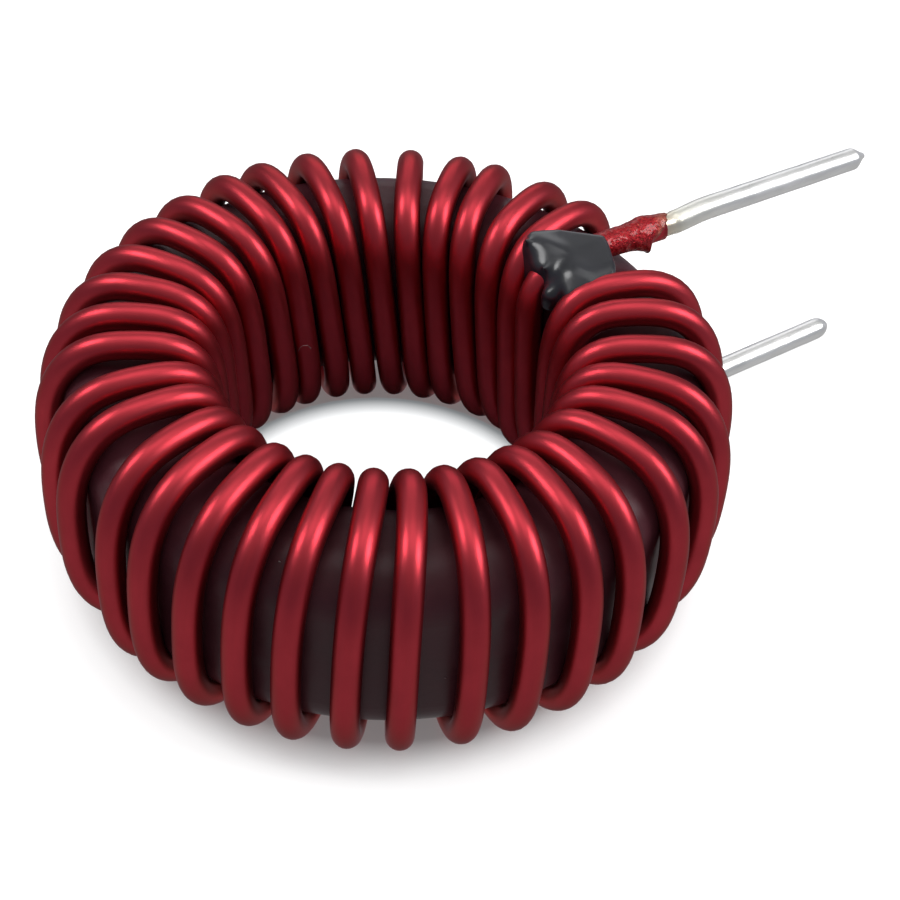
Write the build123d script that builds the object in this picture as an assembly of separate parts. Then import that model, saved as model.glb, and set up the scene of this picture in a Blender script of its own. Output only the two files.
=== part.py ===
from build123d import *
import math
import os

os.makedirs("parts", exist_ok=True)

# ------------------------------------------------------------------ dimensions
# Millimetres and degrees. Z is the ring's axis, z = 0 is the plane that the
# winding rests on, and both leads run out along +X.

core_od = 33.0            # coated powder core, over the coating
core_id = 19.9
core_ht = 10.85
core_edge_r = 2.5         # rounding of the four edges of its section

wire_d = 1.45             # enamelled wire, over the enamel
bare_d = 1.20             # conductor where the enamel is stripped off
tin_d = 1.30              # over the solder coat

ring_ro = 17.42           # wire centre line, outer legs
ring_ri = 9.075           # wire centre line, inner legs
ring_h = 6.68             # wire centre line, top and bottom runs, from mid height
bend_in = 2.20            # centre line radius of the inner bends
bend_out = 4.35           # centre line radius of the outer bends

# Azimuths of the corners of each full turn, in winding order from the lower
# lead: inner bottom, inner top, outer top, outer bottom. The pitch of the
# winding lies in the slant of the inner legs.
turns = [
    (3.62, 13.78, 13.61, 13.37),
    (13.70, 23.98, 23.42, 23.10),
    (23.89, 34.26, 35.67, 35.64),
    (34.86, 43.62, 42.79, 42.59),
    (44.22, 52.98, 53.66, 53.37),
    (53.76, 63.74, 65.45, 65.06),
    (63.38, 74.16, 75.69, 75.14),
    (72.74, 84.12, 85.99, 85.88),
    (83.43, 94.29, 94.29, 93.56),
    (92.79, 104.04, 105.14, 104.81),
    (105.17, 115.51, 114.59, 114.21),
    (116.40, 126.87, 124.87, 124.41),
    (126.01, 136.33, 134.93, 134.55),
    (135.41, 145.69, 145.49, 145.17),
    (146.57, 156.92, 153.52, 153.24),
    (156.60, 167.04, 167.45, 166.71),
    (166.35, 176.40, 175.98, 175.75),
    (175.71, 185.76, 188.88, 189.07),
    (185.47, 195.48, 196.93, 196.24),
    (195.38, 206.44, 206.42, 204.74),
    (205.35, 215.80, 214.96, 213.84),
    (214.71, 225.16, 223.13, 222.00),
    (224.07, 234.52, 232.36, 231.48),
    (233.43, 243.88, 240.52, 240.60),
    (242.79, 253.24, 251.06, 251.53),
    (252.24, 262.60, 261.04, 260.82),
    (262.21, 272.91, 270.49, 270.69),
    (272.04, 282.27, 279.26, 280.38),
    (283.76, 293.39, 291.45, 291.07),
    (293.20, 303.47, 303.23, 302.89),
    (302.91, 313.10, 312.42, 312.10),
    (312.27, 322.46, 325.41, 325.04),
    (327.75, 338.12, 335.01, 334.67),
    (337.46, 347.97, 345.18, 344.82),
]
last_leg = (353.9, 363.7)      # inner bottom and inner top of the pass that ends in the upper lead

lower_tip_x = 33.0        # tip of the lower lead
lower_strip_x = 19.6      # where its enamel ends
upper_strip_x = 17.4      # where the upper lead's enamel ends
upper_bend_1 = (18.3, 0.0, 0.0)   # x, y, height above the top runs' centre line
upper_bend_2 = (20.2, 0.0, 0.19)
upper_tip = (32.45, -0.05, -0.30)
upper_bend_r = 8.0

swell_x = (14.6, 17.4)    # blistered enamel beside the stripped end
swell_r = 0.97            # largest radius there

glue_top = 0.26           # adhesive above the top of the wires
# plan outline of the adhesive
glue_plan = [
    (10.04, 2.61),
    (11.31, 2.47),
    (11.91, 2.04),
    (12.47, 1.31),
    (13.60, 0.27),
    (13.40, -0.56),
    (12.66, -1.84),
    (12.04, -2.47),
    (10.29, -1.95),
    (8.86, -1.69),
    (8.79, -0.71),
    (9.05, 0.00),
    (9.12, 0.76),
    (9.11, 1.58),
    (9.35, 2.30),
]
glue_edge_r = 0.55

z_mid = ring_h + wire_d / 2
z_top = z_mid + ring_h
z_bot = z_mid - ring_h


def polar(r, a, z):
    a = math.radians(a)
    return Vector(r * math.cos(a), r * math.sin(a), z)


# ------------------------------------------------------------------ core
with BuildPart() as core_bp:
    with BuildSketch(Plane.XZ):
        with Locations(((core_od + core_id) / 4, z_mid)):
            RectangleRounded((core_od - core_id) / 2, core_ht, core_edge_r)
    revolve(axis=Axis.Z)
core = core_bp.part

# ------------------------------------------------------------------ winding route
route = [Vector(lower_strip_x, 0, z_bot)]
radii = []
for d_in_bot, d_in_top, d_out_top, d_out_bot in turns:
    route += [polar(ring_ri, d_in_bot, z_bot), polar(ring_ri, d_in_top, z_top),
              polar(ring_ro, d_out_top, z_top), polar(ring_ro, d_out_bot, z_bot)]
    radii += [bend_in, bend_in, bend_out, bend_out]
route += [polar(ring_ri, last_leg[0], z_bot), polar(ring_ri, last_leg[1], z_top)]
radii += [bend_in, bend_in]

b1 = Vector(upper_bend_1[0], upper_bend_1[1], z_top + upper_bend_1[2])
b2 = Vector(upper_bend_2[0], upper_bend_2[1], z_top + upper_bend_2[2])
tip = Vector(upper_tip[0], upper_tip[1], z_top + upper_tip[2])
in_top = route[-1]
lead_dir = (b1 - in_top).normalized()
strip_pt = in_top + lead_dir * ((upper_strip_x - in_top.X) / lead_dir.X)
route.append(strip_pt)
path = FilletPolyline(*route, radius=radii)


def tube(line, diameter):
    start = line @ 0
    face = Plane(origin=start, z_dir=line % 0) * Circle(diameter / 2)
    return sweep(face, path=line)


wire = tube(path, wire_d)
path_len = path.length
print("enamelled wire length", round(path_len, 2), "volume", round(wire.volume, 2),
      "section x length", round(math.pi * wire_d ** 2 / 4 * path_len, 2))

# stripped conductor of each lead
lower_dir = Vector(1, 0, 0)
lower_tip = Vector(lower_tip_x, 0, z_bot)
lower_line = Line(route[0] - lower_dir * 0.4, lower_tip - lower_dir * 1.0)
tip_dir = (tip - b2).normalized()


def on_axis(origin, direction, profile):
    """Solid of revolution about direction; profile is (distance along, radius) points."""
    pl = Plane(origin=origin, z_dir=direction)
    with BuildSketch(Plane.XZ) as sk:
        with BuildLine():
            Polyline(*[(r, s) for s, r in profile], close=True)
        make_face()
    return pl * revolve(sk.sketch, axis=Axis.Z)


upper_bare_end = tip - tip_dir * 1.0
upper_line = FilletPolyline(strip_pt - lead_dir * 0.4, b1, b2, upper_bare_end,
                            radius=[upper_bend_r, upper_bend_r])
upper_bare = tube(upper_line, bare_d)
lower_bare = tube(lower_line, bare_d)

# blistered, swollen enamel beside the upper lead's stripped end
wr = wire_d / 2
s0 = swell_x[0] - in_top.X
s1 = swell_x[1] - in_top.X
k = 1 / lead_dir.X
with BuildSketch(Plane.XZ) as swell_sk:
    with BuildLine():
        Polyline((wr, s0 * k), (0, s0 * k), (0, s1 * k), (wr * 0.92, s1 * k))
        Spline((wr * 0.92, s1 * k), (swell_r * 0.97, (s1 - 0.35) * k), (swell_r, (s1 - 1.0) * k),
               (swell_r * 0.9, (s1 - 1.75) * k), (wr, s0 * k))
    make_face()
swell = Plane(origin=in_top, z_dir=lead_dir) * revolve(swell_sk.sketch, axis=Axis.Z)

winding = wire.fuse(swell).fuse(upper_bare).fuse(lower_bare)

# ------------------------------------------------------------------ solder coats
tr = tin_d / 2
upper_coat_line = FilletPolyline(strip_pt, b1, b2, upper_bare_end, radius=[upper_bend_r, upper_bend_r])
upper_end = on_axis(upper_bare_end, tip_dir,
                    [(-0.3, 0), (-0.3, tr), (0.15, tr), (0.42, tr * 0.86), (0.66, tr * 0.6),
                     (0.82, tr * 0.36), (0.95, tr * 0.24), (1.0, 0)])
tinning_upper = tube(upper_coat_line, tin_d).fuse(upper_end).cut(winding)

lower_coat_line = Line(route[0], lower_tip - lower_dir * 1.0)
lower_end = on_axis(lower_tip - lower_dir * 1.0, lower_dir,
                    [(-0.3, 0), (-0.3, tr), (0.35, tr), (0.6, tr * 0.88), (0.8, tr * 0.68),
                     (0.93, tr * 0.42), (1.0, 0)])
tinning_lower = tube(lower_coat_line, tin_d).fuse(lower_end).cut(winding)

# ------------------------------------------------------------------ fixing adhesive
with BuildPart() as glue_bp:
    with BuildSketch(Plane.XY.offset(z_mid + core_ht / 2 - 0.6)):
        with BuildLine():
            Polyline(*glue_plan, close=True)
        make_face()
    extrude(amount=z_top + wire_d / 2 + glue_top - (z_mid + core_ht / 2 - 0.6))
    vertical = glue_bp.edges().filter_by(Axis.Z)
    fillet(vertical, 0.45)
    fillet(glue_bp.faces().sort_by(Axis.Z)[-1].edges(), glue_edge_r)
glue = glue_bp.part.cut(core).cut(winding)
if isinstance(glue, (list, ShapeList)) or len(glue.solids()) > 1:
    solids = sorted((glue if isinstance(glue, (list, ShapeList)) else glue.solids()), key=lambda s: -s.volume)
    print("adhesive pieces", [round(s.volume, 2) for s in solids])
    glue = solids[0]


# ------------------------------------------------------------------ output
def single(shape, name):
    s = shape.solids() if not isinstance(shape, (list, ShapeList)) else [x for y in shape for x in y.solids()]
    s = sorted(s, key=lambda q: -q.volume)
    if len(s) != 1:
        print(name, "solids:", [round(q.volume, 3) for q in s])
    return s[0]


parts = {
    "toroid_core": single(core, "toroid_core"),
    "winding_wire": single(winding, "winding_wire"),
    "fixing_adhesive": single(glue, "fixing_adhesive"),
    "solder_coat_upper_lead": single(tinning_upper, "solder_coat_upper_lead"),
    "solder_coat_lower_lead": single(tinning_lower, "solder_coat_lower_lead"),
}
for name, shape in parts.items():
    bb = shape.bounding_box()
    print(name, "volume", round(shape.volume, 2), "valid", shape.is_valid,
          "box", [round(v, 2) for v in (*bb.min, *bb.max)])
    export_step(shape, f"parts/{name}.step")
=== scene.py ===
import math
import bpy
import numpy as np
from mathutils import Matrix, Vector


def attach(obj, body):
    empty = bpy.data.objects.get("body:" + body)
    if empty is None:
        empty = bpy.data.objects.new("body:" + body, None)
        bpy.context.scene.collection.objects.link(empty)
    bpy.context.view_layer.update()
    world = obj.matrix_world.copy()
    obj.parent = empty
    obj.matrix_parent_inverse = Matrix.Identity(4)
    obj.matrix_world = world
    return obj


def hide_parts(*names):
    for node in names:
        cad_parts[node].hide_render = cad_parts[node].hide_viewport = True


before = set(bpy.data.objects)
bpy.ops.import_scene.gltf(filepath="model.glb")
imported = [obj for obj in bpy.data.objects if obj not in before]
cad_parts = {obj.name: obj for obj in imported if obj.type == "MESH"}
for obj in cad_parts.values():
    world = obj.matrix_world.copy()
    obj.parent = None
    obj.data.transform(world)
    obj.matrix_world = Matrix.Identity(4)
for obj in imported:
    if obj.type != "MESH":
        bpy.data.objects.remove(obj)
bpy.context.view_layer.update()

MM = 0.001

# ------------------------------------------------------------------ wire route (same points as the CAD, mm)
WIRE_R = 0.725
RO, RI, H = 17.42, 9.075, 6.68
BEND_IN, BEND_OUT = 2.20, 4.35
Z_MID = H + WIRE_R
Z_TOP, Z_BOT = Z_MID + H, Z_MID - H
CORE_R, CORE_RI, CORE_H, CORE_EDGE = 16.5, 9.95, 10.85, 2.5
TURNS = [
    (3.62, 13.78, 13.61, 13.37),
    (13.70, 23.98, 23.42, 23.10),
    (23.89, 34.26, 35.67, 35.64),
    (34.86, 43.62, 42.79, 42.59),
    (44.22, 52.98, 53.66, 53.37),
    (53.76, 63.74, 65.45, 65.06),
    (63.38, 74.16, 75.69, 75.14),
    (72.74, 84.12, 85.99, 85.88),
    (83.43, 94.29, 94.29, 93.56),
    (92.79, 104.04, 105.14, 104.81),
    (105.17, 115.51, 114.59, 114.21),
    (116.40, 126.87, 124.87, 124.41),
    (126.01, 136.33, 134.93, 134.55),
    (135.41, 145.69, 145.49, 145.17),
    (146.57, 156.92, 153.52, 153.24),
    (156.60, 167.04, 167.45, 166.71),
    (166.35, 176.40, 175.98, 175.75),
    (175.71, 185.76, 188.88, 189.07),
    (185.47, 195.48, 196.93, 196.24),
    (195.38, 206.44, 206.42, 204.74),
    (205.35, 215.80, 214.96, 213.84),
    (214.71, 225.16, 223.13, 222.00),
    (224.07, 234.52, 232.36, 231.48),
    (233.43, 243.88, 240.52, 240.60),
    (242.79, 253.24, 251.06, 251.53),
    (252.24, 262.60, 261.04, 260.82),
    (262.21, 272.91, 270.49, 270.69),
    (272.04, 282.27, 279.26, 280.38),
    (283.76, 293.39, 291.45, 291.07),
    (293.20, 303.47, 303.23, 302.89),
    (302.91, 313.10, 312.42, 312.10),
    (312.27, 322.46, 325.41, 325.04),
    (327.75, 338.12, 335.01, 334.67),
    (337.46, 347.97, 345.18, 344.82),
]
LAST = (353.9, 363.7)
LOWER_STRIP, UPPER_STRIP = 19.6, 17.4
UB1 = np.array([18.3, 0.0, Z_TOP])
UB2 = np.array([20.2, 0.0, Z_TOP + 0.19])
UTIP = np.array([32.45, -0.05, Z_TOP - 0.30])
LTIP = np.array([33.0, 0.0, Z_BOT])


def polar(r, a, z):
    a = math.radians(a)
    return np.array([r * math.cos(a), r * math.sin(a), z])


def smooth_route(points, radii, step_line=1.1, step_deg=7.0):
    """Straight runs joined by tangent arcs, sampled evenly enough for a round tube."""
    out = [points[0]]
    for i in range(1, len(points) - 1):
        p = points[i]
        a, b = points[i - 1] - p, points[i + 1] - p
        a, b = a / np.linalg.norm(a), b / np.linalg.norm(b)
        th = math.acos(float(np.clip(a @ b, -1, 1)))
        r = radii[i - 1]
        t = r / math.tan(th / 2)
        c = p + (a + b) / np.linalg.norm(a + b) * (r / math.sin(th / 2))
        u, v = p + a * t - c, p + b * t - c
        ang = math.pi - th
        n = max(2, int(math.ceil(math.degrees(ang) / step_deg)))
        arc = [c + (math.sin((1 - k / n) * ang) * u + math.sin(k / n * ang) * v) / math.sin(ang) for k in range(n + 1)]
        run = arc[0] - out[-1]
        m = max(1, int(round(np.linalg.norm(run) / step_line)))
        start = out[-1]
        out += [start + run * k / m for k in range(1, m)]
        out += arc
    run = points[-1] - out[-1]
    m = max(1, int(round(np.linalg.norm(run) / step_line)))
    start = out[-1]
    out += [start + run * k / m for k in range(1, m + 1)]
    return np.array(out)


def frames(path):
    """Tangents and a twist-free normal at each point of a path."""
    t = np.zeros_like(path)
    t[1:-1] = path[2:] - path[:-2]
    t[0], t[-1] = path[1] - path[0], path[-1] - path[-2]
    t /= np.linalg.norm(t, axis=1)[:, None]
    n = np.zeros_like(path)
    ref = np.array([0.0, 0.0, 1.0]) if abs(t[0][2]) < 0.9 else np.array([0.0, 1.0, 0.0])
    n[0] = ref - t[0] * (ref @ t[0])
    n[0] /= np.linalg.norm(n[0])
    for i in range(1, len(path)):
        v = n[i - 1] - t[i] * (n[i - 1] @ t[i])
        n[i] = v / np.linalg.norm(v)
    return t, n, np.cross(t, n)


def make_mesh(name, verts_mm, faces, smooth=True):
    me = bpy.data.meshes.new(name)
    me.from_pydata((np.asarray(verts_mm) * MM).tolist(), [], faces)
    me.validate()
    if smooth:
        me.polygons.foreach_set("use_smooth", [True] * len(me.polygons))
    me.update()
    ob = bpy.data.objects.new(name, me)
    bpy.context.scene.collection.objects.link(ob)
    return ob


def ring_tube(path, radius, seg=24, shape=None, caps=True):
    """Closed tube round a path. radius is a number or one per point; shape(i, angles) scales it."""
    t, n, b = frames(path)
    ang = np.arange(seg) * 2 * math.pi / seg
    s = np.concatenate([[0], np.cumsum(np.linalg.norm(np.diff(path, axis=0), axis=1))])
    rad = np.full(len(path), radius) if np.isscalar(radius) else np.asarray(radius)
    V, W = [], []
    for i in range(len(path)):
        r = rad[i] * (np.ones(seg) if shape is None else shape(s[i], ang))
        V.append(path[i] + np.cos(ang)[:, None] * r[:, None] * n[i] + np.sin(ang)[:, None] * r[:, None] * b[i])
        W.append(np.stack([np.full(seg, s[i]), np.cos(ang) * rad[i], np.sin(ang) * rad[i]], 1))
    V, W = np.concatenate(V), np.concatenate(W)
    faces = []
    for i in range(len(path) - 1):
        for j in range(seg):
            k = (j + 1) % seg
            faces.append((i * seg + j, i * seg + k, (i + 1) * seg + k, (i + 1) * seg + j))
    if caps:
        faces.append(tuple(reversed(range(seg))))
        last = (len(path) - 1) * seg
        faces.append(tuple(range(last, last + seg)))
    return V, W, faces


def add_attr(ob, name, data):
    at = ob.data.attributes.new(name, "FLOAT_VECTOR", "POINT")
    at.data.foreach_set("vector", np.asarray(data, np.float32).ravel())


def bowed_turn(turn, nxt, n_out=2.65, n_in=3.6, r_top=13.1, count=420):
    """One turn from mid inner leg over the top, down outside and back to the next mid inner leg.

    Drawn tight by hand the wire has no straight run: each quarter is part of a superellipse."""
    q0, q1, q2, q3 = turn
    p0, p1 = nxt
    pts = []
    for th in np.linspace(math.pi, -math.pi, count, endpoint=False):
        c, s = math.cos(th), math.sin(th)
        k = n_out if c > 0 else n_in
        a = RO - r_top if c > 0 else r_top - RI
        r = r_top + a * math.copysign(abs(c) ** (2 / k), c)
        z = H * math.copysign(abs(s) ** (2 / k), s)
        u, v = (r - RI) / (RO - RI), (z + H) / (2 * H)
        if th >= math.pi / 2:
            az = q1 + (q2 - q1) * u + (q0 - q1) * (1 - v)
        elif th >= 0:
            az = q2 + (q1 - q2) * (1 - u) + (q3 - q2) * (1 - v)
        elif th >= -math.pi / 2:
            az = q3 + (q2 - q3) * v + (p0 - q3) * (1 - u)
        else:
            az = p0 + (q3 - p0) * u + (p1 - p0) * v
        pts.append(polar(r, az, Z_MID + z))
    return pts


def evenly(points, step):
    p = np.asarray(points)
    s = np.concatenate([[0], np.cumsum(np.linalg.norm(np.diff(p, axis=0), axis=1))])
    t = np.linspace(0, s[-1], int(s[-1] / step) + 1)
    return np.stack([np.interp(t, s, p[:, i]) for i in range(3)], 1)


IN_TOP = polar(RI, LAST[1], Z_TOP)
LEAD_DIR = (UB1 - IN_TOP) / np.linalg.norm(UB1 - IN_TOP)
STRIP_PT = IN_TOP + LEAD_DIR * ((UPPER_STRIP - IN_TOP[0]) / LEAD_DIR[0])
first = smooth_route([np.array([LOWER_STRIP, 0.0, Z_BOT]), polar(RI, TURNS[0][0], Z_BOT), polar(RI, TURNS[0][1], Z_TOP)], [BEND_IN + 0.4], 0.2, 2.0)
last = smooth_route([polar(RI, LAST[0], Z_BOT), IN_TOP, STRIP_PT], [BEND_IN + 0.4], 0.2, 2.0)
line = [p for p in first if p[2] < Z_MID - 0.2]
for i, q in enumerate(TURNS):
    tight = 95 < q[2] % 360 < 165                # these lie hard on the core
    line += bowed_turn(q, TURNS[i + 1][:2] if i + 1 < len(TURNS) else LAST, n_out=2.42 if tight else 2.65)
line += [p for p in last if p[2] > Z_MID + 0.2]
PATH = evenly(line, 0.5)
# ease out the small steps where the quarters join
for _ in range(2):
    PATH[1:-1] = 0.25 * PATH[:-2] + 0.5 * PATH[1:-1] + 0.25 * PATH[2:]

# ------------------------------------------------------------------ materials
def material(name):
    m = bpy.data.materials.new(name)
    m.use_nodes = True
    nt = m.node_tree
    nt.nodes.clear()
    out = nt.nodes.new("ShaderNodeOutputMaterial")
    b = nt.nodes.new("ShaderNodeBsdfPrincipled")
    nt.links.new(b.outputs[0], out.inputs[0])
    return m, nt, b


def node(nt, kind, **kw):
    n = nt.nodes.new(kind)
    for k, v in kw.items():
        if k.startswith("in_"):
            key = k[3:]
            n.inputs[int(key) if key.isdigit() else key.replace("_", " ")].default_value = v
        else:
            setattr(n, k, v)
    return n


def ramp(nt, fac, stops):
    r = nt.nodes.new("ShaderNodeValToRGB")
    el = r.color_ramp.elements
    el[0].position, el[0].color = stops[0][0], stops[0][1]
    el[1].position, el[1].color = stops[-1][0], stops[-1][1]
    for p, c in stops[1:-1]:
        e = el.new(p)
        e.color = c
    nt.links.new(fac, r.inputs[0])
    return r


def grey(v):
    return (v, v, v, 1.0)


# red enamel over copper
red, nt, b = material("red_enamel")
b.inputs["Metallic"].default_value = 0.96
b.inputs["Specular Tint"].default_value = (0.27, 0.10, 0.16, 1)
b.inputs["Coat Weight"].default_value = 0.5
b.inputs["Coat Roughness"].default_value = 0.45
b.inputs["Coat IOR"].default_value = 1.5
wco = node(nt, "ShaderNodeAttribute", attribute_name="wire_co")
mp = node(nt, "ShaderNodeMapping")
mp.inputs["Scale"].default_value = (0.12, 1.6, 1.6)
nt.links.new(wco.outputs["Vector"], mp.inputs["Vector"])
streak = node(nt, "ShaderNodeTexNoise", in_Scale=2.2, in_Detail=4.0, in_Roughness=0.6)
nt.links.new(mp.outputs[0], streak.inputs["Vector"])
mp2 = node(nt, "ShaderNodeMapping")
mp2.inputs["Scale"].default_value = (0.35, 0.5, 0.5)
nt.links.new(wco.outputs["Vector"], mp2.inputs["Vector"])
cloud = node(nt, "ShaderNodeTexNoise", in_Scale=1.0, in_Detail=3.0, in_Roughness=0.55)
nt.links.new(mp2.outputs[0], cloud.inputs["Vector"])
col = ramp(nt, cloud.outputs["Fac"], [(0.25, (0.41, 0.017, 0.030, 1)), (0.55, (0.47, 0.022, 0.037, 1)), (0.8, (0.53, 0.029, 0.044, 1))])
nt.links.new(col.outputs[0], b.inputs["Base Color"])
rr = node(nt, "ShaderNodeMapRange", in_1=0.3, in_2=0.7, in_3=0.33, in_4=0.43)
nt.links.new(streak.outputs["Fac"], rr.inputs[0])
nt.links.new(rr.outputs[0], b.inputs["Roughness"])
mp3 = node(nt, "ShaderNodeMapping")
mp3.inputs["Scale"].default_value = (3.0, 8.0, 8.0)
nt.links.new(wco.outputs["Vector"], mp3.inputs["Vector"])
fine = node(nt, "ShaderNodeTexNoise", in_Scale=1.6, in_Detail=2.0, in_Roughness=0.5)
nt.links.new(mp3.outputs[0], fine.inputs["Vector"])
hsum = node(nt, "ShaderNodeMath", operation="MULTIPLY_ADD", in_1=0.35)
nt.links.new(fine.outputs["Fac"], hsum.inputs[0])
nt.links.new(streak.outputs["Fac"], hsum.inputs[2])
bump = node(nt, "ShaderNodeBump", in_Strength=0.16, in_Distance=0.00006)
nt.links.new(hsum.outputs[0], bump.inputs["Height"])
nt.links.new(bump.outputs[0], b.inputs["Normal"])

# black epoxy on the core: the maroon tint in its base colour is a painted reflection of red light from the winding, and
# the paler blotches are dust
black, nt, b = material("core_epoxy")
b.inputs["Specular IOR Level"].default_value = 0.24
b.inputs["Roughness"].default_value = 0.38
tc = node(nt, "ShaderNodeTexCoord")
mpo = node(nt, "ShaderNodeMapping")
mpo.inputs["Scale"].default_value = (1000, 1000, 1000)
nt.links.new(tc.outputs["Object"], mpo.inputs["Vector"])
peel = node(nt, "ShaderNodeTexNoise", in_Scale=1.6, in_Detail=3.0, in_Roughness=0.5)
nt.links.new(mpo.outputs[0], peel.inputs["Vector"])
dust = node(nt, "ShaderNodeTexNoise", in_Scale=0.22, in_Detail=5.0, in_Roughness=0.65)
nt.links.new(mpo.outputs[0], dust.inputs["Vector"])
# near-black base with a painted red-bounce tint, paler where dust lies
dust_and_red_bounce = ramp(nt, dust.outputs["Fac"], [(0.35, (0.062, 0.015, 0.021, 1)), (0.58, (0.080, 0.021, 0.029, 1)), (0.75, (0.092, 0.045, 0.050, 1))])
nt.links.new(dust_and_red_bounce.outputs[0], b.inputs["Base Color"])
drr = node(nt, "ShaderNodeMapRange", in_1=0.3, in_2=0.7, in_3=0.30, in_4=0.50)
nt.links.new(dust.outputs["Fac"], drr.inputs[0])
nt.links.new(drr.outputs[0], b.inputs["Roughness"])
bump = node(nt, "ShaderNodeBump", in_Strength=0.25, in_Distance=0.00005)
nt.links.new(peel.outputs["Fac"], bump.inputs["Height"])
nt.links.new(bump.outputs[0], b.inputs["Normal"])

# solder
tin, nt, b = material("solder")
b.inputs["Metallic"].default_value = 0.74
tc = node(nt, "ShaderNodeTexCoord")
mpo = node(nt, "ShaderNodeMapping")
mpo.inputs["Scale"].default_value = (300, 1300, 1300)
nt.links.new(tc.outputs["Object"], mpo.inputs["Vector"])
grain = node(nt, "ShaderNodeTexNoise", in_Scale=1.2, in_Detail=4.0, in_Roughness=0.6)
nt.links.new(mpo.outputs[0], grain.inputs["Vector"])
gcol = ramp(nt, grain.outputs["Fac"], [(0.3, (0.76, 0.76, 0.75, 1)), (0.6, (0.88, 0.88, 0.87, 1)), (0.8, (0.93, 0.93, 0.92, 1))])
sco = node(nt, "ShaderNodeAttribute", attribute_name="lead_co")
ssep = node(nt, "ShaderNodeSeparateXYZ")
nt.links.new(sco.outputs["Vector"], ssep.inputs[0])
warm = node(nt, "ShaderNodeMapRange", in_1=17.6, in_2=22.5, in_3=1.0, in_4=0.0)
nt.links.new(ssep.outputs["X"], warm.inputs[0])
tint = ramp(nt, warm.outputs[0], [(0.0, (1.0, 1.0, 1.0, 1)), (0.75, (0.97, 0.965, 0.90, 1)), (0.86, (0.90, 0.87, 0.76, 1)), (1.0, (0.80, 0.70, 0.56, 1))])
mul = node(nt, "ShaderNodeMix", data_type="RGBA", blend_type="MULTIPLY")
mul.inputs["Factor"].default_value = 1.0
nt.links.new(gcol.outputs[0], mul.inputs[6])
nt.links.new(tint.outputs[0], mul.inputs[7])
nt.links.new(mul.outputs[2], b.inputs["Base Color"])
grr = node(nt, "ShaderNodeMapRange", in_1=0.3, in_2=0.7, in_3=0.26, in_4=0.42)
nt.links.new(grain.outputs["Fac"], grr.inputs[0])
nt.links.new(grr.outputs[0], b.inputs["Roughness"])
bump = node(nt, "ShaderNodeBump", in_Strength=0.25, in_Distance=0.00006)
nt.links.new(grain.outputs["Fac"], bump.inputs["Height"])
nt.links.new(bump.outputs[0], b.inputs["Normal"])

# black adhesive
glue_mat, nt, b = material("black_adhesive")
b.inputs["Specular IOR Level"].default_value = 0.25
b.inputs["Coat Weight"].default_value = 0.8
b.inputs["Coat Roughness"].default_value = 0.22
b.inputs["Roughness"].default_value = 0.42
tc = node(nt, "ShaderNodeTexCoord")
mpo = node(nt, "ShaderNodeMapping")
mpo.inputs["Scale"].default_value = (1000, 1000, 1000)
nt.links.new(tc.outputs["Object"], mpo.inputs["Vector"])
gn = node(nt, "ShaderNodeTexNoise", in_Scale=0.5, in_Detail=4.0, in_Roughness=0.55)
nt.links.new(mpo.outputs[0], gn.inputs["Vector"])
gc = ramp(nt, gn.outputs["Fac"], [(0.35, (0.007, 0.008, 0.012, 1)), (0.7, (0.011, 0.012, 0.018, 1))])
nt.links.new(gc.outputs[0], b.inputs["Base Color"])
grr = node(nt, "ShaderNodeMapRange", in_1=0.3, in_2=0.7, in_3=0.30, in_4=0.48)
nt.links.new(gn.outputs["Fac"], grr.inputs[0])
nt.links.new(grr.outputs[0], b.inputs["Roughness"])
bump = node(nt, "ShaderNodeBump", in_Strength=0.05, in_Distance=0.0001)
nt.links.new(gn.outputs["Fac"], bump.inputs["Height"])
nt.links.new(bump.outputs[0], b.inputs["Normal"])

# scorched, wrinkled enamel at the stripped end
burnt, nt, b = material("scorched_enamel")
b.inputs["Metallic"].default_value = 0.80
b.inputs["Specular Tint"].default_value = (0.3, 0.06, 0.12, 1)
b.inputs["Coat Weight"].default_value = 0.45
b.inputs["Coat Roughness"].default_value = 0.14
b.inputs["Coat IOR"].default_value = 1.5
lco = node(nt, "ShaderNodeAttribute", attribute_name="lead_co")
lsep = node(nt, "ShaderNodeSeparateXYZ")
nt.links.new(lco.outputs["Vector"], lsep.inputs[0])
crumb = node(nt, "ShaderNodeTexNoise", in_Scale=6.0, in_Detail=4.0, in_Roughness=0.7)
nt.links.new(lco.outputs["Vector"], crumb.inputs["Vector"])
fleck = node(nt, "ShaderNodeTexNoise", in_Scale=11.0, in_Detail=2.0, in_Roughness=0.6)
nt.links.new(lco.outputs["Vector"], fleck.inputs["Vector"])
base = ramp(nt, crumb.outputs["Fac"], [(0.30, (0.15, 0.006, 0.010, 1)), (0.50, (0.36, 0.014, 0.020, 1)), (0.70, (0.50, 0.030, 0.034, 1))])
endr = node(nt, "ShaderNodeMapRange", in_1=16.7, in_2=17.15, in_3=0.0, in_4=1.0)
nt.links.new(lsep.outputs["X"], endr.inputs[0])
flr = ramp(nt, fleck.outputs["Fac"], [(0.0, grey(0)), (0.67, grey(0)), (0.73, grey(1))])
mx1 = node(nt, "ShaderNodeMix", data_type="RGBA")
nt.links.new(flr.outputs[0], mx1.inputs["Factor"])
nt.links.new(base.outputs[0], mx1.inputs[6])
mx1.inputs[7].default_value = (0.85, 0.28, 0.12, 1)
mx2 = node(nt, "ShaderNodeMix", data_type="RGBA")
em = node(nt, "ShaderNodeMath", operation="MULTIPLY")
nt.links.new(endr.outputs[0], em.inputs[0])
er = ramp(nt, crumb.outputs["Fac"], [(0.35, grey(0.2)), (0.6, grey(1.0))])
nt.links.new(er.outputs[0], em.inputs[1])
nt.links.new(em.outputs[0], mx2.inputs["Factor"])
nt.links.new(mx1.outputs[2], mx2.inputs[6])
mx2.inputs[7].default_value = (0.42, 0.16, 0.11, 1)
nt.links.new(mx2.outputs[2], b.inputs["Base Color"])
rr = node(nt, "ShaderNodeMapRange", in_1=0.35, in_2=0.65, in_3=0.22, in_4=0.55)
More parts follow.
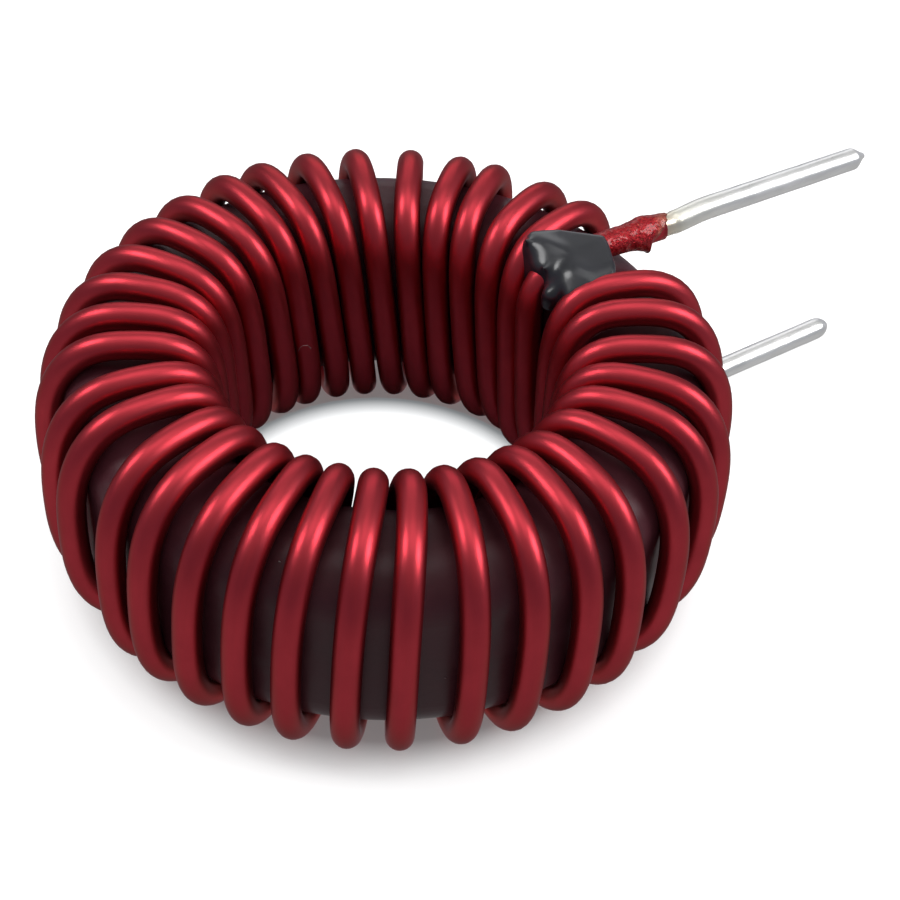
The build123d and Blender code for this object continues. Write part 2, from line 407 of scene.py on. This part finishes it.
nt.links.new(fleck.outputs["Fac"], rr.inputs[0])
nt.links.new(rr.outputs[0], b.inputs["Roughness"])
bump = node(nt, "ShaderNodeBump", in_Strength=0.8, in_Distance=0.00008)
nt.links.new(crumb.outputs["Fac"], bump.inputs["Height"])
nt.links.new(bump.outputs[0], b.inputs["Normal"])


lint, nt, b = material("pale_dust")
b.inputs["Roughness"].default_value = 0.9
tc = node(nt, "ShaderNodeTexCoord")
ln = node(nt, "ShaderNodeTexNoise", in_Scale=9000.0, in_Detail=2.0)
nt.links.new(tc.outputs["Object"], ln.inputs["Vector"])
lc = ramp(nt, ln.outputs["Fac"], [(0.3, (0.16, 0.10, 0.10, 1)), (0.7, (0.40, 0.32, 0.32, 1))])
nt.links.new(lc.outputs[0], b.inputs["Base Color"])

# ------------------------------------------------------------------ soft noise for the uneven pieces
rng = np.random.default_rng(11)
LATTICE = rng.random((32, 32, 32))


def noise3(p, scale):
    """Smooth value noise, -1 to 1, at points p in mm."""
    q = np.asarray(p) * scale + 100.0
    i = np.floor(q).astype(int)
    f = q - i
    f = f * f * (3 - 2 * f)
    out = 0.0
    for dx in (0, 1):
        for dy in (0, 1):
            for dz in (0, 1):
                w = (f[..., 0] if dx else 1 - f[..., 0]) * (f[..., 1] if dy else 1 - f[..., 1]) * (f[..., 2] if dz else 1 - f[..., 2])
                out = out + w * LATTICE[(i[..., 0] + dx) % 32, (i[..., 1] + dy) % 32, (i[..., 2] + dz) % 32]
    return out * 2 - 1


def lerp_at(x, xs, ys):
    return np.interp(x, xs, ys)


# ------------------------------------------------------------------ winding
V, W, F = ring_tube(PATH, WIRE_R, 24)
coil = make_mesh("winding_turns", V, F)
add_attr(coil, "wire_co", W)
coil.data.materials.append(red)
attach(coil, "root")
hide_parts("winding_wire")

core_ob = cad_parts["toroid_core"]
if core_ob.material_slots:
    for s in core_ob.material_slots:
        s.material = black
else:
    core_ob.data.materials.append(black)


# ------------------------------------------------------------------ blistered enamel beside the upper lead's stripped end
def side_weight(ang, centre, width):
    d = (ang - math.radians(centre) + math.pi) % (2 * math.pi) - math.pi
    return np.exp(-(d / math.radians(width)) ** 2)


def yz_angles(t, n, b, ang):
    """Angle of each ring point about the lead, from +Y towards +Z."""
    d = np.cos(ang)[:, None] * n + np.sin(ang)[:, None] * b
    return np.arctan2(d[:, 2], d[:, 1])


def lead_mesh(name, path, seg, radius_at, closed=True):
    t, n, b = frames(path)
    ang = np.arange(seg) * 2 * math.pi / seg
    V, A = [], []
    for i in range(len(path)):
        th = yz_angles(t[i], n[i], b[i], ang)
        r, shift = radius_at(path[i], th)
        d = np.cos(ang)[:, None] * n[i] + np.sin(ang)[:, None] * b[i]
        V.append(path[i] + d * np.asarray(r)[:, None] + t[i] * np.asarray(shift)[:, None])
        A.append(np.stack([np.full(seg, path[i][0]), np.cos(th), np.sin(th)], 1))
    V, A = np.concatenate(V), np.concatenate(A)
    F = [(i * seg + j, i * seg + (j + 1) % seg, (i + 1) * seg + (j + 1) % seg, (i + 1) * seg + j) for i in range(len(path) - 1) for j in range(seg)]
    F.append(tuple(reversed(range(seg))))
    last = (len(path) - 1) * seg
    F.append(tuple(range(last, last + seg)))
    ob = make_mesh(name, V, F)
    add_attr(ob, "lead_co", A)
    return ob


def sleeve_radius(p, th):
    x = p[0]
    q = np.stack([np.full(len(th), x), 0.8 * np.cos(th), 0.8 * np.sin(th)], 1)
    rough = lerp_at(x, [13.2, 14.0, 15.2, 17.4], [0.2, 1.0, 1.0, 0.8])
    r = np.full(len(th), lerp_at(x, [13.0, 13.8, 15.2, 16.3, 16.9, 17.3, 17.6, 17.9], [0.728, 0.74, 0.77, 0.80, 0.76, 0.73, 0.70, 0.69]))
    r += rough * (0.020 * noise3(q, 2.2) + 0.016 * noise3(q + 7, 5.0) + 0.012 * noise3(q + 13, 9.0))
    front = side_weight(th, 150, 60)
    r += rough * front * 0.026 * noise3(q * [1.0, 1.4, 1.4] + 3, 6.5)
    r += 0.30 * side_weight(th, 232, 34) * math.exp(-((x - 16.45) / 0.42) ** 2)
    r += 0.16 * side_weight(th, 215, 40) * math.exp(-((x - 16.0) / 0.55) ** 2)
    r += 0.11 * side_weight(th, 45, 40) * math.exp(-((x - 16.35) / 0.5) ** 2)
    r += 0.07 * side_weight(th, 100, 30) * math.exp(-((x - 17.1) / 0.25) ** 2)
    # ragged end: the film stops short on the lower side and runs on as a flake on top
    end_reach = 0.50 * side_weight(th, 75, 50) - 1.05 * side_weight(th, 235, 70) - 0.12 + 0.16 * noise3(q * [0.0, 3.0, 3.0] + 21, 1.3) + 0.06 * noise3(q * [0.0, 6.0, 6.0] + 5, 1.7)
    k = lerp_at(x, [16.2, 17.4], [0.0, 1.0])
    shift = k * end_reach
    if x > 17.38:
        r = 0.665 + (r - 0.665) * lerp_at(x, [17.38, 17.46], [0.6, 0.0])
    return np.clip(r, 0.66, 1.15), shift


n_sl = 90
sl_x = np.concatenate([np.linspace(13.0, 17.38, n_sl), [17.41, 17.44, 17.46]])
sl_path = np.array([IN_TOP + LEAD_DIR * ((x - IN_TOP[0]) / LEAD_DIR[0]) for x in sl_x])
sleeve = lead_mesh("frayed_enamel", sl_path, 72, sleeve_radius)
sleeve.data.materials.append(burnt)
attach(sleeve, "root")


# ------------------------------------------------------------------ solder coats
def coat_radius(tip_profile, tip_x, seed, start_x):
    px, pr = zip(*tip_profile)

    def f(p, th):
        x = p[0]
        q = np.stack([np.full(len(th), x * 0.30), 0.65 * np.cos(th), 0.65 * np.sin(th)], 1)
        r = np.full(len(th), np.interp(x - tip_x, px, pr))
        k = min(1.0, r[0] / 0.6)
        r += k * (0.012 * noise3(q + seed, 1.3) + 0.006 * noise3(q * [2.0, 1, 1] + seed + 9, 2.4))
        # a flat drawn along the coat where the solder ran thin
        r -= k * 0.016 * side_weight(th, 168 + seed, 16)
        r *= np.interp(x - start_x, [0.0, 0.55, 0.72, 0.86], [0.945, 0.945, 1.012, 1.0]) if start_x > 0 else 1.0
        return np.minimum(r, 0.672), np.zeros(len(th))
    return f


def dense(points, radii, step):
    p = smooth_route([np.array(q, float) for q in points], radii, step_line=step, step_deg=1.2)
    return p


up_pts = [STRIP_PT - LEAD_DIR * 1.0, UB1, UB2, UTIP]
up_path = dense(up_pts, [8.0, 8.0], 0.16)
# finer rings at the tip
tip_dir = (UTIP - UB2) / np.linalg.norm(UTIP - UB2)
up_path = up_path[up_path[:, 0] < UTIP[0] - 1.3]
up_path = np.concatenate([up_path, [UTIP - tip_dir * s for s in np.linspace(1.25, 0.0, 30)]])
tip_up = [(-30, 0.65), (-1.02, 0.65), (-0.92, 0.635), (-0.80, 0.575), (-0.60, 0.45), (-0.42, 0.335), (-0.31, 0.265), (-0.24, 0.225), (-0.16, 0.20), (-0.08, 0.165), (-0.03, 0.10), (0.0, 0.04)]
upper = lead_mesh("upper_lead_solder", up_path, 44, coat_radius(tip_up, UTIP[0], 0.0, 17.6))
upper.data.materials.append(tin)
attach(upper, "root")
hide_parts("solder_coat_upper_lead")

lo_x = np.concatenate([np.arange(19.25, LTIP[0] - 1.2, 0.16), np.linspace(LTIP[0] - 1.15, LTIP[0], 28)])
lo_path = np.stack([lo_x, np.zeros_like(lo_x), np.full_like(lo_x, Z_BOT)], 1)
tip_lo = [(-30, 0.65), (-0.95, 0.65), (-0.72, 0.62), (-0.50, 0.545), (-0.32, 0.44), (-0.17, 0.32), (-0.07, 0.20), (-0.02, 0.10), (0.0, 0.03)]
lower = lead_mesh("lower_lead_solder", lo_path, 44, coat_radius(tip_lo, LTIP[0], 4.0, -1.0))
lower.data.materials.append(tin)
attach(lower, "root")
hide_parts("solder_coat_lower_lead")


# ------------------------------------------------------------------ fixing adhesive: one surface drawn round a soft solid
def poly_dist(P, poly):
    """Signed distance in plan to a polygon, negative inside."""
    poly = np.asarray(poly, float)
    d = np.full(P.shape[:-1], 1e9)
    inside = np.zeros(P.shape[:-1], bool)
    for a, c in zip(poly, np.roll(poly, -1, 0)):
        e = c - a
        w = P - a
        h = np.clip((w @ e) / (e @ e), 0, 1)
        d = np.minimum(d, np.linalg.norm(w - h[..., None] * e, axis=-1))
        cond = ((a[1] <= P[..., 1]) & (c[1] > P[..., 1])) | ((c[1] <= P[..., 1]) & (a[1] > P[..., 1]))
        t = (P[..., 1] - a[1]) / (e[1] if abs(e[1]) > 1e-9 else 1e-9)
        inside ^= cond & (P[..., 0] < a[0] + t * e[0])
    return np.where(inside, -d, d)


def smin(a, b, k):
    h = np.clip(0.5 + 0.5 * (b - a) / k, 0, 1)
    return b * (1 - h) + a * h - k * h * (1 - h)


def slab(P, poly, z0, z1, r):
    d2 = poly_dist(P[..., :2], poly) + r
    dz = np.maximum(z0 - P[..., 2], P[..., 2] - z1) + r
    return np.minimum(np.maximum(d2, dz), 0) + np.hypot(np.maximum(d2, 0), np.maximum(dz, 0)) - r


def capsule(P, a, b, r):
    a, b = np.array(a, float), np.array(b, float)
    w, e = P - a, b - a
    h = np.clip((w @ e) / (e @ e), 0, 1)
    return np.linalg.norm(w - h[..., None] * e, axis=-1) - r


def surface_net(D, origin, step):
    """One quad mesh of the zero level of the grid D."""
    s = D < 0
    nx, ny, nz = D.shape
    cell = np.zeros((nx - 1, ny - 1, nz - 1), bool)
    acc = np.zeros((nx - 1, ny - 1, nz - 1, 3))
    cnt = np.zeros((nx - 1, ny - 1, nz - 1))
    corners = [(i, j, k) for i in (0, 1) for j in (0, 1) for k in (0, 1)]
    sl = lambda c: (slice(c[0], nx - 1 + c[0]), slice(c[1], ny - 1 + c[1]), slice(c[2], nz - 1 + c[2]))
    for a in corners:
        for ax in range(3):
            if a[ax]:
                continue
            c = list(a)
            c[ax] = 1
            va, vc = D[sl(a)], D[sl(tuple(c))]
            hit = (va < 0) != (vc < 0)
            t = np.where(hit, va / np.where(hit, va - vc, 1), 0)
            for m in range(3):
                acc[..., m] += np.where(hit, a[m] + (t if m == ax else 0), 0)
            cnt += hit
    cell = cnt > 0
    idx = np.full(cell.shape, -1)
    idx[cell] = np.arange(cell.sum())
    ii = np.argwhere(cell)
    V = origin + step * (ii + acc[cell] / cnt[cell][:, None])
    F = []
    for ax in range(3):
        u, v = [(1, 2), (2, 0), (0, 1)][ax]
        a = [slice(1, -1)] * 3
        a[ax] = slice(0, -1)
        c = [slice(1, -1)] * 3
        c[ax] = slice(1, None)
        A, C = s[tuple(a)], s[tuple(c)]
        for sgn in (1, -1):
            e = np.argwhere((A & ~C) if sgn > 0 else (~A & C))
            off = np.ones(3, int)
            off[ax] = 0
            e = e + off
            q = []
            for du, dv in ((-1, -1), (0, -1), (0, 0), (-1, 0)):
                o = e.copy()
                o[:, u] += du
                o[:, v] += dv
                q.append(idx[o[:, 0], o[:, 1], o[:, 2]])
            q = np.stack(q, 1)
            F += (q if sgn > 0 else q[:, ::-1]).tolist()
    return V, [tuple(f) for f in F if min(f) >= 0]


TOP_PLAN = [(10.35, 2.66), (11.15, 2.30), (11.80, 1.80), (13.52, 0.12), (13.32, -0.62), (12.62, -2.10), (12.10, -2.80), (10.95, -2.85), (9.95, -2.60), (9.40, -2.1), (9.75, -1.50), (9.95, -0.95), (9.95, -0.45), (9.70, -0.10), (9.64, 0.25), (9.90, 0.70), (10.02, 1.15), (9.84, 1.60), (9.62, 1.95), (9.74, 2.35)]
g_step = 0.075
g_org = np.array([8.0, -3.3, 12.0])
gx, gy, gz = np.meshgrid(*[g_org[i] + g_step * np.arange(n) for i, n in enumerate((82, 88, 43))], indexing="ij")
P = np.stack([gx, gy, gz], -1)
wob = 0.016 * noise3(P, 0.5)
Pw = P + np.stack([0.02 * noise3(P + 11, 0.9), 0.02 * noise3(P + 17, 0.9), np.zeros(P.shape[:-1])], -1)
tilt = 14.92 + 0.07 * np.clip((P[..., 0] - 11.5) / 2, -1, 1) - 0.06 * np.clip(-P[..., 1] / 2.4, 0, 1)
brow = 10.95 - 0.45 * np.clip((P[..., 1] - 0.2) / 1.2, 0, 1)
fall = np.clip(brow - P[..., 0], 0, 2)
fall = 0.66 * (np.sqrt(fall ** 2 + 0.04) - 0.2) + 0.20 * np.clip((-1.7 - P[..., 1]) / 0.8, 0, 1.4) ** 2
Pt = np.stack([Pw[..., 0], Pw[..., 1], P[..., 2] - tilt + 14.92 + fall], -1)
d = slab(Pt, TOP_PLAN, 12.2, 14.92, 0.20)
d = smin(d, capsule(P, (10.6, 0.66, 14.0), (10.05, 0.64, 13.72), 0.74), 0.6)
d = smin(d, capsule(P, (10.35, 1.45, 14.2), (9.95, 1.40, 12.7), 0.52), 0.7)
d = smin(d, capsule(P, (10.5, -1.15, 14.15), (9.45, -0.92, 13.15), 0.46), 0.7)
d = smin(d, capsule(P, (9.45, -0.92, 13.15), (9.35, -0.90, 12.5), 0.42), 0.4)
d = smin(d, capsule(P, (9.86, 1.92, 14.72), (9.66, 1.95, 14.80), 0.16), 0.18)
d = smin(d, capsule(P, (9.80, 0.05, 14.30), (9.50, 0.02, 14.34), 0.13), 0.2)
d = d + wob * 0.6
d = np.maximum(d, P[..., 2] - 15.04)
d = np.maximum(d, 12.3 - P[..., 2])
V, F = surface_net(d, g_org, g_step)
# surface tension: the side over the hole relaxes into one soft roll
V = np.asarray(V, float)
quads = np.asarray(F)
ea = np.concatenate([quads[:, i] for i in range(4)])
eb = np.concatenate([quads[:, (i + 1) % 4] for i in range(4)])
ease = np.clip((11.7 - V[:, 0]) / 0.7, 0, 1)[:, None] * 0.5
for _ in range(40):
    acc, num = np.zeros_like(V), np.zeros(len(V))
    np.add.at(acc, ea, V[eb])
    np.add.at(num, ea, 1)
    V += ease * (acc / num[:, None] - V)
glue = make_mesh("adhesive_blob", V, F)
glue.data.materials.append(glue_mat)
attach(glue, "root")
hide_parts("fixing_adhesive")


# ------------------------------------------------------------------ a hair of lint in the hole and a few flecks of dust
def fleck(centre, normal, size, seed):
    """A tiny crumpled flake as a closed lump."""
    n = np.asarray(normal, float) / np.linalg.norm(normal)
    a = np.cross(n, [0.3, 0.2, 1.0])
    a /= np.linalg.norm(a)
    c = np.cross(n, a)
    V, F = [], []
    rows, cols = 5, 8
    for i in range(1, rows):
        ph = math.pi * i / rows
        for j in range(cols):
            th = 2 * math.pi * j / cols
            k = size * (1 + 0.35 * math.sin(3 * th + seed) * math.sin(ph))
            V.append(np.asarray(centre) + k * math.sin(ph) * (math.cos(th) * a + 0.5 * math.sin(th) * c) + 0.35 * size * math.cos(ph) * n)
    V.append(np.asarray(centre) + 0.35 * size * n)
    V.append(np.asarray(centre) - 0.35 * size * n)
    for i in range(rows - 2):
        for j in range(cols):
            k = (j + 1) % cols
            F.append((i * cols + j, (i + 1) * cols + j, (i + 1) * cols + k, i * cols + k))
    top, bot = len(V) - 2, len(V) - 1
    for j in range(cols):
        k = (j + 1) % cols
        F.append((top, j, k))
        F.append((bot, (rows - 2) * cols + k, (rows - 2) * cols + j))
    return V, F


dust_V, dust_F = [], []


def add_part(V, F):
    base = len(dust_V)
    dust_V.extend([np.asarray(v) for v in V])
    dust_F.extend([tuple(i + base for i in f) for f in F])


hair = np.array([(-0.66, 8.12, 6.84), (-0.60, 8.06, 7.10), (-0.42, 7.98, 7.27), (-0.16, 7.92, 7.20), (0.02, 7.95, 6.96), (0.10, 8.00, 6.78)])
hair = smooth_route([hair[0]] + list(hair[1:-1]) + [hair[-1]], [0.10] * 4, step_line=0.2, step_deg=20)
hv, hw, hf = ring_tube(hair, 0.013, 6)
add_part(hv, hf)
for az, r, z, size, seed in ((-117.6, 15.98, 11.7, 0.10, 1.0), (-112.2, 16.50, 6.6, 0.07, 2.0), (-96.0, 15.9, 11.9, 0.06, 3.1), (-141.0, 15.3, 12.5, 0.07, 4.4), (-168.0, 15.1, 12.55, 0.08, 0.4), (-74.0, 14.6, 12.75, 0.07, 5.2), (52.5, 13.2, 12.83, 0.08, 2.6), (118.6, 14.2, 12.83, 0.06, 1.7)):
    nrm = polar(1.0, az, 0.0) * (1.0 if z < 12.2 else 0.5) + np.array([0, 0, 0.0 if z < 11 else 0.8])
    add_part(*fleck(polar(r, az, z), nrm, size, seed))
dust = make_mesh("lint_and_dust", np.array(dust_V), dust_F)
dust.data.materials.append(lint)
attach(dust, "root")
# ------------------------------------------------------------------ stage, lights, camera
floor_mat, nt, b = material("pale_floor")
b.inputs["Base Color"].default_value = (0.48, 0.48, 0.48, 1)
ftc = node(nt, "ShaderNodeTexCoord")
flen = node(nt, "ShaderNodeVectorMath", operation="LENGTH")
nt.links.new(ftc.outputs["Object"], flen.inputs[0])
fmr = node(nt, "ShaderNodeMapRange", in_1=0.0, in_2=0.025, in_3=0.0, in_4=1.0)
nt.links.new(flen.outputs["Value"], fmr.inputs[0])
# painted light and shade: the floor glows brighter inside the hole and out beyond the ring, and the darker strip under
# the ring is a painted shadow
painted_floor_glow = ramp(nt, fmr.outputs[0], [(0.0, grey(2.1)), (0.36, grey(2.0)), (0.41, grey(0.3)), (0.60, grey(0.3)), (0.70, grey(1.35)), (0.80, grey(1.7)), (1.0, grey(1.7))])
nt.links.new(painted_floor_glow.outputs[0], b.inputs["Emission Color"])
b.inputs["Emission Strength"].default_value = 0.50
b.inputs["Roughness"].default_value = 0.9
b.inputs["Specular IOR Level"].default_value = 0.2
fl = make_mesh("stage_floor", np.array([(-1500, -1500, 0), (1500, -1500, 0), (1500, 1500, 0), (-1500, 1500, 0)], float), [(0, 1, 2, 3)], smooth=False)
fl.data.materials.append(floor_mat)

fl.visible_glossy = False
fl.visible_diffuse = False

# painted shade: a dark card under the hole, seen only in reflections, stands in for the shadowed table there
card_mat, nt, b = material("painted_shade_card")
b.inputs["Base Color"].default_value = (0.28, 0.33, 0.37, 1)
b.inputs["Roughness"].default_value = 0.9
ring = [polar(10.4, 360 * i / 48, 0.004) for i in range(48)]
card = make_mesh("stage_shade_card", np.array(ring), [tuple(range(48))], smooth=False)
card.data.materials.append(card_mat)
card.visible_camera = False
card.visible_shadow = False

# a pale wall all round, for views from low down
wall_mat, nt, b = material("pale_wall")
b.inputs["Base Color"].default_value = (0.2, 0.2, 0.2, 1)
b.inputs["Roughness"].default_value = 1.0
b.inputs["Emission Color"].default_value = (1, 1, 1, 1)
b.inputs["Emission Strength"].default_value = 0.86
n_w = 96
wv = [polar(1450.0, 360 * i / n_w, z) for z in (0.0, 2500.0) for i in range(n_w)]
wall = make_mesh("stage_wall", np.array(wv), [(i, (i + 1) % n_w, n_w + (i + 1) % n_w, n_w + i) for i in range(n_w)])
wall.data.materials.append(wall_mat)
wall.visible_glossy = False
wall.visible_diffuse = False
wall.visible_shadow = False

world = bpy.data.worlds.new("studio")
bpy.context.scene.world = world
world.use_nodes = True
wn = world.node_tree
bg = wn.nodes["Background"]
wtc = wn.nodes.new("ShaderNodeTexCoord")
wsep = wn.nodes.new("ShaderNodeSeparateXYZ")
wn.links.new(wtc.outputs["Generated"], wsep.inputs[0])
wmr = node(wn, "ShaderNodeMapRange", in_1=-1.0, in_2=1.0, in_3=0.0, in_4=1.0)
wn.links.new(wsep.outputs["Z"], wmr.inputs[0])
wr = ramp(wn, wmr.outputs[0], [(0.0, grey(0.34)), (0.15, grey(0.52)), (0.30, grey(0.42)), (0.45, (0.28, 0.29, 0.33, 1)), (0.55, (0.23, 0.24, 0.29, 1)), (0.66, (0.24, 0.25, 0.29, 1)), (0.78, grey(0.28)), (0.90, grey(0.42)), (1.0, grey(0.52))])
wn.links.new(wr.outputs[0], bg.inputs[0])
bg.inputs[1].default_value = 1.0


def softbox(name, az, el, dist, sx, sy, power, target=(0, 0, Z_MID * MM)):
    li = bpy.data.lights.new(name, "AREA")
    li.shape = "RECTANGLE"
    li.size, li.size_y = sx, sy
    li.energy = power
    ob = bpy.data.objects.new(name, li)
    bpy.context.scene.collection.objects.link(ob)
    a, e = math.radians(az), math.radians(el)
    d = Vector((math.cos(e) * math.cos(a), math.cos(e) * math.sin(a), math.sin(e)))
    ob.location = Vector(target) + d * dist
    ob.rotation_mode = "QUATERNION"
    ob.rotation_quaternion = d.to_track_quat("Z", "Y")
    return ob


softbox("key_right", -37, 38, 0.60, 0.26, 0.34, 2.05)
softbox("key_left", 137, 48, 0.60, 0.22, 0.24, 1.25)
softbox("overhead", 30, 80, 0.70, 0.45, 0.45, 0.85)
softbox("back_fill", 60, 24, 0.80, 0.60, 0.30, 0.7)

cam_data = bpy.data.cameras.new("camera")
cam_data.sensor_width = 36
cam_data.lens = 73.42
cam_data.clip_start, cam_data.clip_end = 0.005, 10
cam = bpy.data.objects.new("camera", cam_data)
bpy.context.scene.collection.objects.link(cam)
R, U, B = Vector((0.832935, -0.550617, 0.055133)), Vector((0.349457, 0.600639, 0.719105)), Vector((-0.429067, -0.579702, 0.69271))
M = Matrix((R, U, B)).transposed().to_4x4()
M.translation = Vector((-0.039285, -0.058906, 0.073980))
cam.matrix_world = M
bpy.context.scene.camera = cam
bpy.context.scene.view_settings.view_transform = "Standard"
bpy.context.scene.view_settings.look = "None"
